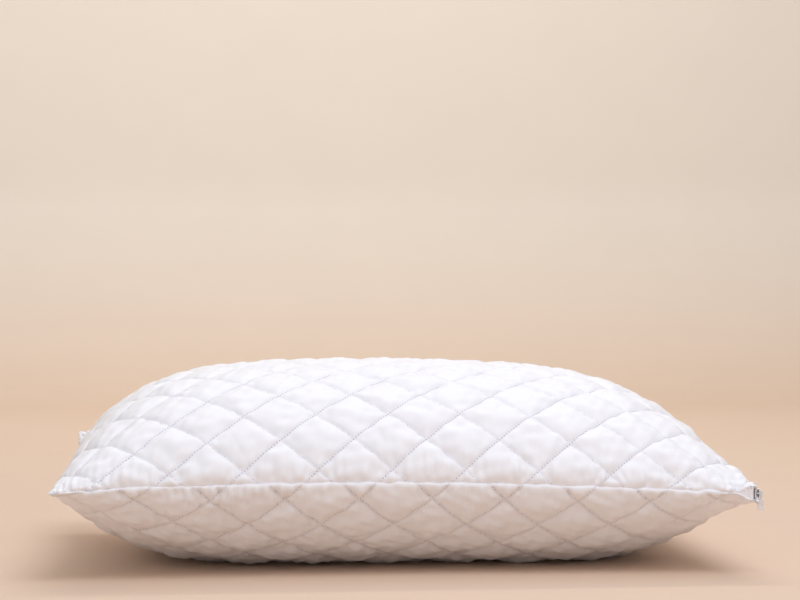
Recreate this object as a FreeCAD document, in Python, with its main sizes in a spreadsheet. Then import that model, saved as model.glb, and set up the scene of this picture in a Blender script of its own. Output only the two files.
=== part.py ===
"""Zippered quilted bed pillow: two three-layer quilted panels, a zip along the right side and a stuffed insert.

Millimetres. +X runs along the length towards the zip, -Y is the front long side, +Z is up.
The origin is the middle of the flattened underside, on the surface that the pillow lies on.
"""

import FreeCAD, Part
import os
from math import pi, sin

import Sketcher
from FreeCAD import Rotation, Vector

doc = FreeCAD.newDocument("bed_pillow")

# ---------------------------------------------------------------- driving dimensions

sheet = doc.addObject("Spreadsheet::Sheet", "Sizes")
DIMENSIONS = [
    # the stuffed cover, measured between its corner tips
    ("pillow_length", 650.0, "tip to tip, along X"),
    ("pillow_width", 460.0, "tip to tip, along Y"),
    ("seam_height", 90.0, "side seam above the underside, mid length"),
    ("crown_rise", 107.0, "top of the crown above the side seam"),
    ("belly_depth", 98.0, "depth below the seam that the lower panel would have unloaded"),
    ("rest_blend", 10.0, "height over which the belly rolls into the flattened underside"),
    ("long_side_pull", 13.0, "how far filling pulls in the front and back seams"),
    ("left_side_pull", 10.0, "how far filling pulls in the left seam"),
    ("zip_side_drop", 12.0, "how much lower the zipped side lies"),
    ("left_side_drop", 6.0, "how much lower the left side lies"),
    ("back_corner_lift", 26.0, "how far the back left corner stands up"),
    # the quilted layers
    ("face_thick", 0.6, "face fabric"),
    ("lining_thick", 0.5, "inner lining"),
    ("wadding_thick", 5.5, "wadding at the crown"),
    ("wadding_rest", 4.0, "wadding pressed flat under the pillow"),
    ("wadding_edge", 1.2, "wadding pressed together at the seams"),
    ("layer_gap", 0.4, "clearance between neighbouring layers"),
    ("seam_gap", 0.6, "clearance between the two panels at the seam"),
    # the seam allowance of the cover
    ("allowance_setback", 2.0, "overlocked seam allowance to the lining's edge"),
    ("allowance_width", 7.0, "overlocked seam allowance"),
    ("allowance_thick", 1.2, "overlocked seam allowance"),
    # the stuffed insert
    ("insert_margin", 15.0, "insert edge inside the lining edge"),
    ("insert_headroom", 1.5, "insert below the lining at the crown"),
    ("insert_edge", 2.4, "how far the casing rolls off its seam within the first span"),
    ("casing_thick", 0.5, "insert casing"),
    ("flange_width", 4.0, "insert's sewn flange"),
    ("flange_thick", 1.0, "insert's sewn flange"),
    ("flange_gap", 0.3, "insert's flange to its casing"),
    # the zip's opening and tapes
    ("zip_opening", 12.0, "distance between the two panel edges along the zip"),
    ("zip_plateau", 14.0, "how far the opening reaches into the front and back seams at full height"),
    ("zip_closing_run", 16.0, "length over which the front and back seams then close"),
    ("tape_thick", 0.6, "zip tape"),
    ("tape_slot", 3.4, "distance between the two woven tape edges"),
    ("tape_flange", 5.0, "sewn part of the tape, turned in under the panel edge"),
    ("tape_lip_gap", 0.2, "tape to the panel edge above it"),
    ("tape_end_margin", 2.0, "tape end to corner tip"),
    ("patch_thick", 0.6, "fabric patch over each tape end"),
    ("patch_gap", 0.2, "patch to the panel edges around it"),
    # the zip's chain
    ("chain_width", 6.0, "the two coil rows together"),
    ("chain_thick", 1.9, "coil rows, outward from the tape"),
    ("chain_end_margin", 10.5, "coil end to corner tip"),
    ("coil_pitch", 1.6, "from one coil loop to the next"),
    ("coil_wire", 0.6, "flattened coil loop, along the zip"),
    ("coil_binding", 0.8, "core and sewing that hold the loops to the tape"),
    ("coil_reach", 1.0, "how far each row's loops cross the middle"),
    ("stop_length", 3.0, "top and bottom stops, along the zip"),
    ("stop_reach", 3.1, "outer edge of the stops from the middle of the zip"),
    ("stop_thick", 1.6, "stops, outward from the tape"),
    ("stop_lip", 0.4, "part of a stop that wraps the tape's edge"),
    ("stop_backing", 0.8, "plate of the bottom stop behind the tapes"),
    # the slider and its puller
    ("slider_length", 12.6, "along the zip"),
    ("slider_front_width", 9.4, "at its two mouths"),
    ("slider_rear_width", 8.2, "at its single mouth"),
    ("slider_end_margin", 3.0, "slider end to corner tip, zip closed"),
    ("plate_thick", 1.1, "slider plates"),
    ("slider_flange", 0.9, "slider's side flanges, across the zip"),
    ("slider_clearance", 0.25, "chain and tape to the slider"),
    ("wedge_length", 5.0, "diamond post that parts the coils"),
    ("wedge_width", 2.0, "diamond post"),
    ("wedge_setback", 0.6, "diamond post to the front end of the plates"),
    ("bridge_length", 9.0, "bridge over the slider's outer plate"),
    ("bridge_leg", 1.5, "bridge legs, along the zip"),
    ("bridge_width", 1.5, "across the zip"),
    ("bridge_bar", 0.9, "bridge bar"),
    ("bridge_clear", 1.7, "clear height under the bridge bar"),
    ("eyelet_bore", 2.5, "puller eyelet, bore"),
    ("eyelet_wall", 0.75, "puller eyelet, ring wall"),
    ("neck_width", 2.8, "puller neck"),
    ("neck_length", 5.4, "pivot to the tab's shoulder"),
    ("puller_width", 6.0, "puller tab"),
    ("puller_length", 16.0, "pivot to puller tip"),
    ("puller_thick", 1.2, "puller tab"),
    ("puller_hole", 2.2, "hole near the puller tip"),
    ("puller_hole_margin", 3.0, "hole centre to puller tip"),
    ("puller_round", 0.3, "rounding of the puller's edges"),
]
for row, (name, dimension, note) in enumerate(DIMENSIONS, start=1):
    sheet.set(f"A{row}", name)
    sheet.set(f"B{row}", str(dimension))
    sheet.set(f"C{row}", note)
    sheet.setAlias(f"B{row}", name)
doc.recompute()


def size(name):
    """The value of a driving dimension."""
    return float(sheet.get(name))


def value(expression):
    """The value of an expression that reads the driving dimensions."""
    return float(sheet.evalExpression(expression))


# ---------------------------------------------------------------- the pillow's form

LENGTH_STEPS = 22  # spans of each soft surface along X
WIDTH_STEPS = 16  # and along Y
LEFT_FULLNESS = (3.8, 0.63)  # exponents of the crown towards the left: flat in the middle, steep at the seam
ZIP_FULLNESS = (4.1, 0.65)  # towards the zip
WIDTH_FULLNESS = (2.1, 0.64)  # towards the front and the back
PULL_DECAY = 3  # how fast a pulled-in seam straightens towards the middle
ZIP_DROP_DECAY = 1.4  # how fast the dropped zip side recovers
LEFT_DROP_DECAY = 4.4  # how fast the dropped left side recovers
LIFT_DECAY = 4  # how fast a lifted corner recovers
PLANED = 1.0  # the lower face is made this much too deep and planed to a true plane


def fullness(s, exponents):
    """Height of the crown at s, from 0 in the middle to 1 at a seam, as a share of its rise."""
    flat, steep = exponents
    return max(0.0, 1.0 - abs(s) ** flat) ** steep


def crown(u, v):
    """Height of the crown at u, v as a share of its rise."""
    return fullness(u, ZIP_FULLNESS if u > 0 else LEFT_FULLNESS) * fullness(v, WIDTH_FULLNESS)


def plan(u, v, inset):
    """Where the point u, v of the pillow lies in plan, for a layer whose edge is inset."""
    half_length = size("pillow_length") / 2 - inset
    half_width = size("pillow_width") / 2 - inset
    left = max(0.0, -u)
    x = half_length * u + size("left_side_pull") * (1 - v * v) * left**PULL_DECAY
    pull = size("long_side_pull") * (1 - u * u) * abs(v) ** PULL_DECAY
    y = half_width * v - (pull if v > 0 else -pull)
    return x, y


def seam_level(u, v, inset):
    """Height of the side seam's surface under the point u, v of a layer whose edge is inset."""
    u *= 1 - 2 * inset / size("pillow_length")
    v *= 1 - 2 * inset / size("pillow_width")
    left, zipped, back = max(0.0, -u), max(0.0, u), max(0.0, v)
    level = size("seam_height") - size("zip_side_drop") * zipped**ZIP_DROP_DECAY
    level -= size("left_side_drop") * left**LEFT_DROP_DECAY
    return level + size("back_corner_lift") * left**LIFT_DECAY * back**LIFT_DECAY


def opening(x):
    """Half the distance between the two panels' edges at x: shut along the sewn sides, open at the zip."""
    full = size("pillow_length") / 2 - size("zip_plateau")
    share = min(1.0, max(0.0, 1 - (full - x) / size("zip_closing_run")))
    shut, wide = size("seam_gap") / 2, size("zip_opening") / 2
    return shut + (wide - shut) * share * share * (3 - 2 * share)


def rolled(height, floor):
    """height, flattened onto floor with a rolled edge."""
    blend = size("rest_blend")
    overlap = max(0.0, blend - abs(height - floor)) / blend
    return max(height, floor) + overlap * overlap * blend / 4


def upper_point(u, v, layer, gape=True):
    """A point of an upper surface."""
    x, y = plan(u, v, layer.inset)
    height = seam_level(u, v, layer.inset) + (opening(x) if gape else 0.0)
    height += edge_roll(u, v, layer) + (size("crown_rise") - layer.edge - layer.sink) * crown(u, v)
    return Vector(x, y, height)


def lower_point(u, v, layer, gape=True):
    """A point of a lower surface."""
    x, y = plan(u, v, layer.inset)
    height = seam_level(u, v, layer.inset) - (opening(x) if gape else 0.0)
    height -= edge_roll(u, v, layer) + (size("belly_depth") - layer.edge - layer.sink) * crown(u, v)
    return Vector(x, y, rolled(height, layer.floor))


def edge_roll(u, v, layer):
    """How far a surface has rolled away from the seam: all of it within one span."""
    return 0.0 if max(abs(u), abs(v)) > 0.9999 else layer.edge


def spans(steps):
    """Knots from -1 to 1, closer towards the seams, and the places of the poles that go with them."""
    knots = [sin(pi / 2 * (2 * i / (steps - 2) - 1)) for i in range(steps - 1)]
    line = [-1.0] * 3 + knots + [1.0] * 3
    return knots, [sum(line[i + 1 : i + 4]) / 3 for i in range(steps + 1)]


def soft_face(point):
    """A smooth face drawn by the poles point(u, v), with more of them near the seams.

    Each pole stands at its knots' mean, so a straight edge or a flat area is run through evenly. Poles that
    lie in a plane give a truly flat face, and layers that share their u and v never cross.
    """
    (u_knots, u_places), (v_knots, v_places) = spans(LENGTH_STEPS), spans(WIDTH_STEPS)
    poles = [[point(u, v) for v in v_places] for u in u_places]
    repeats = [[4] + [1] * (len(line) - 2) + [4] for line in (u_knots, v_knots)]
    surface = Part.BSplineSurface()
    surface.buildFromPolesMultsKnots(poles, *repeats, u_knots, v_knots, False, False, 3, 3)
    return surface.toShape()


def boundary(face, side):
    """The edge of a soft face on its left, right, front or back side."""
    axis, sign = {"left": ("x", -1), "right": ("x", 1), "front": ("y", -1), "back": ("y", 1)}[side]
    return max(face.Edges, key=lambda edge: sign * getattr(edge.CenterOfMass, axis))


def strip(one, other):
    """A face between two edges: a plane between straight ones, and otherwise ruled."""
    ends = [[edge.valueAt(place) for place in edge.ParameterRange] for edge in (one, other)]
    straight = all(abs((b - a).Length - edge.Length) < 1e-7 for (a, b), edge in zip(ends, (one, other)))
    if not straight:
        return Part.makeRuledSurface(one, other)
    (a, b), (c, d) = ends
    if (b - a).dot(d - c) < 0:
        c, d = d, c
    return Part.Face(Part.makePolygon([a, b, d, c, a]))


def closed_solid(faces):
    """The solid inside faces that share their edges."""
    shell = Part.Shell(faces)
    shell.sewShape()
    solid = Part.Solid(shell)
    solid.fixTolerance(1e-5)
    if solid.Volume < 0:
        solid.reverse()
    return solid


def cloth(outer, inner):
    """A layer between an outer and an inner surface, closed by a strip along each of its four sides."""
    outside, inside = soft_face(outer), soft_face(inner)
    strips = [
        strip(boundary(outside, side), boundary(inside, side)) for side in ("left", "right", "front", "back")
    ]
    return closed_solid([outside, inside] + strips)


def add_soft(label, shape):
    """A soft sub-part as an object of the document."""
    part = doc.addObject("Part::Feature", label)
    part.Label = label
    part.Shape = shape
    return part


# ---------------------------------------------------------------- how the layers stack, from the outside in


class Surface:
    """One surface of a layer: its inset at the seam, how far it stands off the seam's surface along the
    edges, how far it lies below the outside at the crown, and the height of its flattened underside."""

    def __init__(self, inset, edge, sink, floor):
        self.inset, self.edge, self.sink, self.floor = inset, edge, sink, floor

    def inward(self, edge, crown_depth, rest):
        """The surface that lies further in by edge at the seam, crown_depth on top and rest underneath."""
        return Surface(self.inset + edge, self.edge - edge, self.sink + crown_depth, self.floor + rest)


def stack():
    """The outer and the inner surface of every layer, from the outside in."""
    gap = size("layer_gap")
    thicks = {
        "face": [size("face_thick")] * 3,
        "wadding": [size(name) for name in ("wadding_edge", "wadding_thick", "wadding_rest")],
        "lining": [size("lining_thick")] * 3,
    }
    panel_edge = sum(thick[0] for thick in thicks.values()) + len(thicks) * gap
    outer = Surface(0.0, panel_edge, 0.0, 0.0)
    layers = {}
    for name, thick in thicks.items():
        inner = outer.inward(*thick)
        layers[name] = (outer, inner)
        outer = inner.inward(gap, gap, gap)
    margin = outer.inset + size("insert_margin")
    casing = Surface(margin, size("insert_edge"), outer.sink + size("insert_headroom"), outer.floor)
    lined = casing.inward(*[size("casing_thick")] * 3)
    layers["casing"] = (casing, lined)
    layers["fill"] = (lined.inward(gap, gap, gap), None)
    return layers


LAYERS = stack()


def upper_layer(name):
    """A layer of the upper half."""
    outer, inner = LAYERS[name]
    return cloth(lambda u, v: upper_point(u, v, outer), lambda u, v: upper_point(u, v, inner))


def lower_layer(name, extra_depth=0.0):
    """A layer of the lower half."""
    outer, inner = LAYERS[name]
    deep = Surface(outer.inset, outer.edge, outer.sink, outer.floor - extra_depth)
    return cloth(lambda u, v: lower_point(u, v, deep), lambda u, v: lower_point(u, v, inner))


def quilted_panels():
    """The upper and the lower panel of the cover, three layers each."""
    add_soft("upper_face_fabric", upper_layer("face"))
    add_soft("upper_wadding", upper_layer("wadding"))
    add_soft("upper_lining", upper_layer("lining"))
    blank = add_soft("lower_face_blank", lower_layer("face", PLANED))
    table = doc.addObject("Part::Box", "table_space")
    table.setExpression("Length", "Sizes.pillow_length")
    table.setExpression("Width", "Sizes.pillow_width")
    table.Height = 10 * PLANED
    table.setExpression("Placement.Base.x", "-Sizes.pillow_length / 2")
    table.setExpression("Placement.Base.y", "-Sizes.pillow_width / 2")
    table.setExpression("Placement.Base.z", f"-{10 * PLANED}")
    planed = doc.addObject("Part::Cut", "lower_face_fabric")
    planed.Label = "lower_face_fabric"
    planed.Base, planed.Tool = blank, table
    add_soft("lower_wadding", lower_layer("wadding"))
    add_soft("lower_lining", lower_layer("lining"))


SIDES = {
    "left": lambda along: (-1, along),
    "right": lambda along: (1, along),
    "front": lambda along: (along, -1),
    "back": lambda along: (along, 1),
}


def seam_curve(side, span, inset, lift):
    """A stretch of a curve along one side, inset from it and lifted by lift(x), drawn as the panels' edges are."""
    knots, places = spans(WIDTH_STEPS if side in ("left", "right") else LENGTH_STEPS)
    poles = []
    for place in places:
        u, v = SIDES[side](place)
        x, y = plan(u, v, inset)
        poles.append(Vector(x, y, seam_level(u, v, inset) + lift(x)))
    curve = Part.BSplineCurve()
    curve.buildFromPolesMultsKnots(poles, [4] + [1] * (len(knots) - 2) + [4], knots, False, 3)
    curve.segment(*span)
    return curve.toShape()


def seam_strip(side, span, insets, half_height):
    """A strip on the seam's surface, between two insets, half_height(x) above and below it."""
    low_out, low_in, high_out, high_in = [
        seam_curve(side, span, inset, lift)
        for lift in (lambda x: -half_height(x), half_height)
        for inset in insets
    ]
    faces = [
        strip(low_out, low_in),
        strip(high_out, high_in),
        strip(low_out, high_out),
        strip(low_in, high_in),
    ]
    for end in (0, 1):
        corners = [rail.Vertexes[end].Point for rail in (low_out, low_in, high_in, high_out)]
        faces.append(Part.Face(Part.makePolygon(corners + corners[:1])))
    return closed_solid(faces)


NOTCH = 0.93  # a sewn flange reaches this share of the way to the corners, where it is notched


def cover_seam():
    """The overlocked seam allowance inside the three sewn sides of the cover."""
    start = LAYERS["lining"][1].inset + size("allowance_setback")
    insets = (start, start + size("allowance_width"))
    half = size("allowance_thick") / 2
    strips = [seam_strip(side, (-NOTCH, NOTCH), insets, lambda x: half) for side in ("left", "front", "back")]
    add_soft("seam_allowance", Part.makeCompound(strips))


def zip_end_patch(label, side):
    """The fabric patch that closes the side seam over the end of the zip tapes."""
    half_length = size("pillow_length") / 2
    gap = size("patch_gap")
    tip = half_length - gap - size("patch_thick")
    start = half_length - size("zip_plateau") - size("zip_closing_run")
    span = (start / half_length, tip / half_length)
    insets = (gap, gap + size("patch_thick"))
    add_soft(label, seam_strip(side, span, insets, lambda x: max(opening(x) - gap, gap / 2)))


def insert():
    """The stuffed insert: casing, sewn flange and filling."""
    add_soft("insert_casing_upper", upper_layer("casing"))
    add_soft("insert_casing_lower", lower_layer("casing"))
    edge = LAYERS["casing"][0].inset - size("flange_gap")
    insets = (edge - size("flange_width"), edge)
    half = size("flange_thick") / 2
    strips = [seam_strip(side, (-NOTCH, NOTCH), insets, lambda x: half) for side in SIDES]
    add_soft("insert_seam_flange", Part.makeCompound(strips))
    outside = LAYERS["fill"][0]
    top = soft_face(lambda u, v: upper_point(u, v, outside, gape=False))
    bottom = soft_face(lambda u, v: lower_point(u, v, outside, gape=False))
    add_soft("fibre_fill", closed_solid([top, bottom]))


# ---------------------------------------------------------------- bodies, sketches and pads


def new_body(label, place):
    """A body whose origin is at place, three expressions."""
    body = doc.addObject("PartDesign::Body", label)
    body.Label = label
    for axis, expression in zip("xyz", place):
        body.setExpression(f"Placement.Base.{axis}", expression)
    return body


def new_sketch(body, name, role, offset=None):
    """A sketch on one of the body's origin planes, moved off it by offset, an expression."""
    plane = next(item for item in body.Origin.OriginFeatures if item.Role == role)
    sketch = body.newObject("Sketcher::SketchObject", name)
    sketch.AttachmentSupport = (plane, [""])
    sketch.MapMode = "FlatFace"
    if offset:
        sketch.setExpression("AttachmentOffset.Base.z", offset)
    return sketch


def fix(sketch, kind, geometry, point, expression):
    """Hold a point of a sketch at a distance from the sketch's origin, given by an expression."""
    index = sketch.addConstraint(Sketcher.Constraint(kind, -1, 1, geometry, point, value(expression)))
    sketch.setExpression(f"Constraints[{index}]", expression)


def outline(sketch, corners):
    """A closed outline through corners, each a pair of expressions."""
    points = [Vector(value(across), value(up), 0) for across, up in corners]
    first = len(sketch.Geometry)
    count = len(points)
    for i in range(count):
        sketch.addGeometry(Part.LineSegment(points[i], points[(i + 1) % count]), False)
    for i in range(count):
        following = first + (i + 1) % count
        sketch.addConstraint(Sketcher.Constraint("Coincident", first + i, 2, following, 1))
    for i, (across, up) in enumerate(corners):
        fix(sketch, "DistanceX", first + i, 1, across)
        fix(sketch, "DistanceY", first + i, 1, up)


def rectangle(sketch, left, right, low, high):
    """A rectangle between four expressions."""
    outline(sketch, [(left, low), (right, low), (right, high), (left, high)])


def circle(sketch, across, up, radius):
    """A circle whose centre and radius are expressions."""
    centre = Vector(value(across), value(up), 0)
    index = sketch.addGeometry(Part.Circle(centre, Vector(0, 0, 1), value(radius)), False)
    fix(sketch, "DistanceX", index, 3, across)
    fix(sketch, "DistanceY", index, 3, up)
    held = sketch.addConstraint(Sketcher.Constraint("Radius", index, value(radius)))
    sketch.setExpression(f"Constraints[{held}]", radius)


def new_pad(body, name, sketch, length, middle=False):
    """A pad of a sketch along its plane's normal, or half to each side."""
    feature = body.newObject("PartDesign::Pad", name)
    feature.Profile = sketch
    feature.setExpression("Length", length)
    feature.SideType = "Symmetric" if middle else "One side"
    sketch.Visibility = False
    return feature


# ---------------------------------------------------------------- the zip

ZIP_X = "(Sizes.pillow_length - Sizes.tape_thick) / 2"  # the tapes' middle plane
ZIP_Z = "Sizes.seam_height - Sizes.zip_side_drop"
CHAIN_START = "(Sizes.chain_end_margin - Sizes.pillow_width / 2)"
CHAIN_LENGTH = "(Sizes.pillow_width - 2 * Sizes.chain_end_margin)"
HALF_TAPE = "Sizes.tape_thick / 2"
PLATE_INSIDE = "(Sizes.tape_thick / 2 + Sizes.chain_thick + Sizes.slider_clearance)"  # outer plate's inner face
SLIDER_Y = "(Sizes.slider_end_margin + Sizes.slider_length / 2 - Sizes.pillow_width / 2)"


def zip_tape(label, sign):
    """A woven tape: a leg beside the coils, turned in under the panel's edge."""
    body = new_body(label, (ZIP_X, "0", ZIP_Z))
    sketch = new_sketch(body, label + "_profile", "XZ_Plane")
    top = "(Sizes.zip_opening / 2 - Sizes.tape_lip_gap)"
    corners = [
        (HALF_TAPE, f"{sign} * Sizes.tape_slot / 2"),
        (HALF_TAPE, f"{sign} * {top}"),
        ("Sizes.tape_thick / 2 - Sizes.tape_flange", f"{sign} * {top}"),
        ("Sizes.tape_thick / 2 - Sizes.tape_flange", f"{sign} * ({top} - Sizes.tape_thick)"),
        (f"-{HALF_TAPE}", f"{sign} * ({top} - Sizes.tape_thick)"),
        (f"-{HALF_TAPE}", f"{sign} * Sizes.tape_slot / 2"),
    ]
    outline(sketch, corners)
    new_pad(body, label + "_strip", sketch, "Sizes.pillow_width - 2 * Sizes.tape_end_margin", middle=True)


def zip_coil(label, sign, phase):
    """A coil row: flattened loops, held to the tape by their binding, that mesh with the other row's."""
    body = new_body(label, (ZIP_X, CHAIN_START, ZIP_Z))
    binding = new_sketch(body, label + "_binding_outline", "YZ_Plane", HALF_TAPE)
    edge = f"{sign} * Sizes.chain_width / 2"
    inner = f"{sign} * (Sizes.chain_width / 2 - Sizes.coil_binding)"
    rectangle(binding, "0", CHAIN_LENGTH, inner, edge)
    new_pad(body, label + "_binding", binding, "Sizes.chain_thick")
    loop = new_sketch(body, label + "_loop_outline", "YZ_Plane", HALF_TAPE)
    start = f"({phase} * Sizes.coil_pitch + (Sizes.coil_pitch / 2 - Sizes.coil_wire) / 2)"
    rectangle(loop, start, f"{start} + Sizes.coil_wire", f"-({sign}) * Sizes.coil_reach", inner)
    tooth = new_pad(body, label + "_loop", loop, "Sizes.chain_thick")
    row = body.newObject("PartDesign::LinearPattern", label + "_loops")
    row.Originals = [tooth]
    row.Direction = (loop, ["H_Axis"])
    count = f"floor({CHAIN_LENGTH} / Sizes.coil_pitch)"
    row.setExpression("Occurrences", count)
    row.setExpression("Length", f"({count} - 1) * Sizes.coil_pitch")
    body.Tip = row


def top_stop(label, sign):
    """A stop pinched over the tape's edge, beside the diamond of the closed slider."""
    body = new_body(label, (ZIP_X, f"{CHAIN_START} - Sizes.stop_length / 2", ZIP_Z))
    sketch = new_sketch(body, label + "_profile", "XZ_Plane")
    outer = f"{HALF_TAPE} + Sizes.stop_thick"
    edge = f"{sign} * Sizes.tape_slot / 2"
    lip = f"{sign} * (Sizes.tape_slot / 2 - Sizes.stop_lip)"
    reach = f"{sign} * Sizes.stop_reach"
    corners = [
        (HALF_TAPE, reach),
        (outer, reach),
        (outer, lip),
        (f"-{HALF_TAPE}", lip),
        (f"-{HALF_TAPE}", edge),
        (HALF_TAPE, edge),
    ]
    outline(sketch, corners)
    new_pad(body, label + "_clip", sketch, "Sizes.stop_length", middle=True)


def bottom_stop():
    """The stop that joins both tapes where the zip ends: a front plate, a web and a plate behind."""
    label = "bottom_stop"
    place = (ZIP_X, f"{CHAIN_START} + {CHAIN_LENGTH} + Sizes.stop_length / 2", ZIP_Z)
    body = new_body(label, place)
    sketch = new_sketch(body, label + "_profile", "XZ_Plane")
    reach = "Sizes.stop_reach"
    web = "(Sizes.tape_slot / 2 - Sizes.stop_lip)"
    outer = f"({HALF_TAPE} + Sizes.stop_thick)"
    behind = f"-({HALF_TAPE} + Sizes.stop_backing)"
    corners = [
        (outer, f"-{reach}"),
        (outer, reach),
        (HALF_TAPE, reach),
        (HALF_TAPE, web),
        (f"-{HALF_TAPE}", web),
        (f"-{HALF_TAPE}", reach),
        (behind, reach),
        (behind, f"-{reach}"),
        (f"-{HALF_TAPE}", f"-{reach}"),
        (f"-{HALF_TAPE}", f"-{web}"),
        (HALF_TAPE, f"-{web}"),
        (HALF_TAPE, f"-{reach}"),
    ]
    outline(sketch, corners)
    new_pad(body, label + "_clip", sketch, "Sizes.stop_length", middle=True)


def slider():
    """The slider: two plates, the diamond between them, flanges beside the chain and the puller's bridge."""
    body = new_body("slider_body", (ZIP_X, SLIDER_Y, ZIP_Z))
    front, rear = "-Sizes.slider_length / 2", "Sizes.slider_length / 2"
    half_front, half_rear = "Sizes.slider_front_width / 2", "Sizes.slider_rear_width / 2"

    def plate(name, offset):
        sketch = new_sketch(body, name + "_outline", "YZ_Plane", offset)
        corners = [
            (front, f"-{half_front}"),
            (rear, f"-{half_rear}"),
            (rear, half_rear),
            (front, half_front),
        ]
        outline(sketch, corners)
        return new_pad(body, name, sketch, "Sizes.plate_thick")

    plate("outer_plate", PLATE_INSIDE)
    wedge_sketch = new_sketch(body, "wedge_outline", "YZ_Plane", f"-{HALF_TAPE} - Sizes.slider_clearance")
    nose = f"{front} + Sizes.wedge_setback"
    widest = f"{nose} + Sizes.wedge_length * 0.4"
    wedge_corners = [
        (nose, "0"),
        (widest, "-Sizes.wedge_width / 2"),
        (f"{nose} + Sizes.wedge_length", "0"),
        (widest, "Sizes.wedge_width / 2"),
    ]
    outline(wedge_sketch, wedge_corners)
    depth = f"{PLATE_INSIDE} + {HALF_TAPE} + Sizes.slider_clearance"
    new_pad(body, "wedge", wedge_sketch, depth)
    plate("inner_plate", f"-{HALF_TAPE} - Sizes.slider_clearance - Sizes.plate_thick")
    mouth = f"{HALF_TAPE} + Sizes.slider_clearance"
    for name, sign in (("flange_upper", "1"), ("flange_lower", "-1")):
        sketch = new_sketch(body, name + "_outline", "YZ_Plane", mouth)
        corners = [
            (front, f"{sign} * {half_front}"),
            (rear, f"{sign} * {half_rear}"),
            (rear, f"{sign} * ({half_rear} - Sizes.slider_flange)"),
            (front, f"{sign} * ({half_front} - Sizes.slider_flange)"),
        ]
        outline(sketch, corners)
        new_pad(body, name, sketch, f"{PLATE_INSIDE} - {mouth}")
    bridge = new_sketch(body, "bridge_profile", "XY_Plane")
    base = f"{PLATE_INSIDE} + Sizes.plate_thick"
    under = f"{base} + Sizes.bridge_clear"
    top = f"{under} + Sizes.bridge_bar"
    end = "Sizes.bridge_length / 2"
    inside = "(Sizes.bridge_length / 2 - Sizes.bridge_leg)"
    shoulder = f"{top} - Sizes.bridge_bar"
    corners = [
        (base, f"-{end}"),
        (shoulder, f"-{end}"),
        (top, f"-{inside}"),
        (top, inside),
        (shoulder, end),
        (base, end),
        (base, inside),
        (under, inside),
        (under, f"-{inside}"),
        (base, f"-{inside}"),
    ]
    outline(bridge, corners)
    new_pad(body, "bridge", bridge, "Sizes.bridge_width", middle=True)


def puller():
    """The puller: an eyelet around the bridge's bar, a neck and a tab with a hole, hanging down."""
    pivot = f"{ZIP_X} + {PLATE_INSIDE} + Sizes.plate_thick + Sizes.bridge_clear + Sizes.bridge_bar / 2"
    body = new_body("puller_tab", (pivot, SLIDER_Y, ZIP_Z))
    thick = "Sizes.puller_thick"
    tab = new_sketch(body, "tab_outline", "XZ_Plane")
    neck, half = "Sizes.neck_width / 2", "Sizes.puller_width / 2"
    shoulder, tip = "-Sizes.neck_length", "-Sizes.puller_length"
    start = "-Sizes.eyelet_bore / 2 - Sizes.eyelet_wall / 2"
    corners = [
        (neck, start),
        (neck, shoulder),
        (half, f"{shoulder} - ({half} - {neck})"),
        (half, tip),
        (f"-{half}", tip),
        (f"-{half}", f"{shoulder} - ({half} - {neck})"),
        (f"-{neck}", shoulder),
        (f"-{neck}", start),
    ]
    outline(tab, corners)
    new_pad(body, "tab", tab, thick, middle=True)
    eyelet = new_sketch(body, "eyelet_outline", "XZ_Plane")
    circle(eyelet, "0", "0", "Sizes.eyelet_bore / 2 + Sizes.eyelet_wall")
    new_pad(body, "eyelet", eyelet, thick, middle=True)
    doc.recompute()
    corner_round = body.newObject("PartDesign::Fillet", "tip_round")
    edges = [
        f"Edge{i}"
        for i, edge in enumerate(body.Shape.Edges, start=1)
        if abs(edge.BoundBox.YLength - size("puller_thick")) < 1e-6
        and edge.BoundBox.ZMax < body.Placement.Base.z - size("puller_length") + 0.1
    ]
    corner_round.Base = (body.getObject("eyelet"), edges)
    corner_round.setExpression("Radius", "Sizes.puller_width / 4")
    for name, height, bore in (
        ("eyelet_hole", "0", "Sizes.eyelet_bore"),
        ("tip_hole", "Sizes.puller_hole_margin - Sizes.puller_length", "Sizes.puller_hole"),
    ):
        sketch = new_sketch(body, name + "_outline", "XZ_Plane")
        circle(sketch, "0", height, f"{bore} / 2")
        doc.recompute()
        before = body.Shape.Volume
        hole = body.newObject("PartDesign::Pocket", name)
        hole.Profile = sketch
        hole.SideType = "Symmetric"
        hole.setExpression("Length", f"2 * {thick}")
        sketch.Visibility = False
        doc.recompute()
        if body.Shape.Volume > before - 0.5 * size("puller_thick") * value(bore) ** 2:
            raise RuntimeError(name + " removed too little")


quilted_panels()
cover_seam()
zip_end_patch("zip_end_patch_front", "front")
zip_end_patch("zip_end_patch_back", "back")
zip_tape("zip_tape_upper", "1")
zip_tape("zip_tape_lower", "-1")
zip_coil("zip_coil_upper", "1", "0")
zip_coil("zip_coil_lower", "-1", "0.5")
top_stop("top_stop_upper", "1")
top_stop("top_stop_lower", "-1")
bottom_stop()
slider()
puller()
insert()
doc.recompute()

# ---------------------------------------------------------------- checks and files

for item in doc.Objects:
    if "Invalid" in item.State or "Error" in item.State:
        raise RuntimeError(f"{item.Label} failed: {item.State}")

AIDS = ("lower_face_blank", "table_space")
pieces = [
    item
    for item in doc.Objects
    if item.TypeId in ("Part::Feature", "Part::Cut", "PartDesign::Body") and item.Label not in AIDS
]
for piece in pieces:
    shape = piece.Shape
    if shape.isNull() or not shape.isValid() or not shape.Solids or shape.Volume <= 0:
        raise RuntimeError(f"{piece.Label} has no valid solid")

os.makedirs("parts", exist_ok=True)
for piece in pieces:
    piece.Shape.exportStep(f"parts/{piece.Label}.step")
    print(f"{piece.Label}: {piece.Shape.Volume:.1f} mm3 in {len(piece.Shape.Solids)}")
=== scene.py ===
import math

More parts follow.
